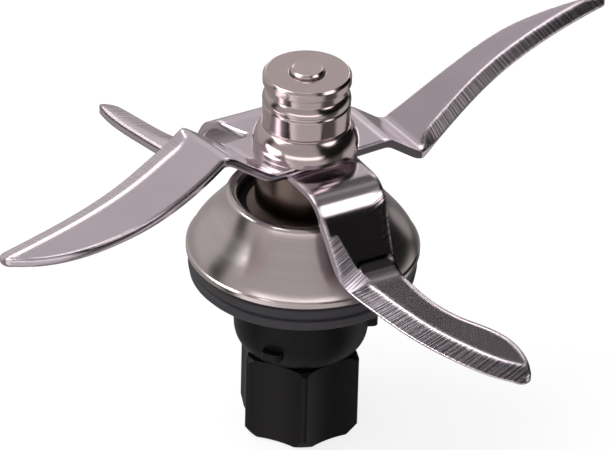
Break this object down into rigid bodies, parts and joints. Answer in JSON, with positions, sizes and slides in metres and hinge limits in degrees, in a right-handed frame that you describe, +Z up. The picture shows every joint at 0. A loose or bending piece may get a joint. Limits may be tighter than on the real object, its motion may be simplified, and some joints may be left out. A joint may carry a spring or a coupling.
{
  "type": "dough blade",
  "caption": "Knife unit for a cooking blender: crossed bent steel blades on a polished hub over a conical cover, rubber gasket, bayonet bearing housing and hollow-sided drive coupling.",
  "frame": {"origin": "shaft axis at the foot of the drive coupling", "axes": "+Z up along the shaft towards the hub, +X along the upper sheet's sunk arm"},
  "size_m": [0.1268, 0.1079, 0.0679],
  "materials": {
    "polished_steel": "turned and polished",
    "blade_steel": "satin face, ground bevel",
    "cover_steel": "pressed, fine satin",
    "bearing_steel": "ground",
    "gasket_rubber": "matt, slate grey",
    "seal_rubber": "matt black",
    "housing_plastic": "satin black",
    "coupling_plastic": "satin black",
    "cage_plastic": "natural"
  },
  "bodies": {
    "housing": {"bearing_housing": "housing_plastic", "cone_cover": "cover_steel", "bowl_gasket": "gasket_rubber", "upper_outer_ring": "bearing_steel", "lower_outer_ring": "bearing_steel", "bearing_circlip": "bearing_steel", "shaft_seal": "seal_rubber", "seal_spring": "bearing_steel"},
    "rotor": {"shaft": "polished_steel", "blade_hub": "polished_steel", "upper_blade": "blade_steel", "lower_blade": "blade_steel", "hub_collar": "polished_steel", "upper_inner_ring": "bearing_steel", "lower_inner_ring": "bearing_steel", "bearing_spacer": "bearing_steel", "drive_coupling": "coupling_plastic", "coupling_washer": "bearing_steel", "coupling_nut": "bearing_steel"},
    "upper_ball_set": {"upper_balls": "bearing_steel", "upper_cage": "cage_plastic"},
    "lower_ball_set": {"lower_balls": "bearing_steel", "lower_cage": "cage_plastic"}
  },
  "joints": [
    {"name": "rotor_spin", "type": "hinge", "parent": "housing", "child": "rotor", "pos_m": [0, 0, 0.03], "axis": [0, 0, 1], "continuous": true},
    {"name": "upper_ball_roll", "type": "hinge", "parent": "housing", "child": "upper_ball_set", "pos_m": [0, 0, 0.034], "axis": [0, 0, 1], "continuous": true},
    {"name": "lower_ball_roll", "type": "hinge", "parent": "housing", "child": "lower_ball_set", "pos_m": [0, 0, 0.02], "axis": [0, 0, 1], "continuous": true}
  ],
  "couplings": [
    {"joint": "upper_ball_roll", "follows": "rotor_spin", "ratio": 0.38889},
    {"joint": "lower_ball_roll", "follows": "rotor_spin", "ratio": 0.4}
  ]
}
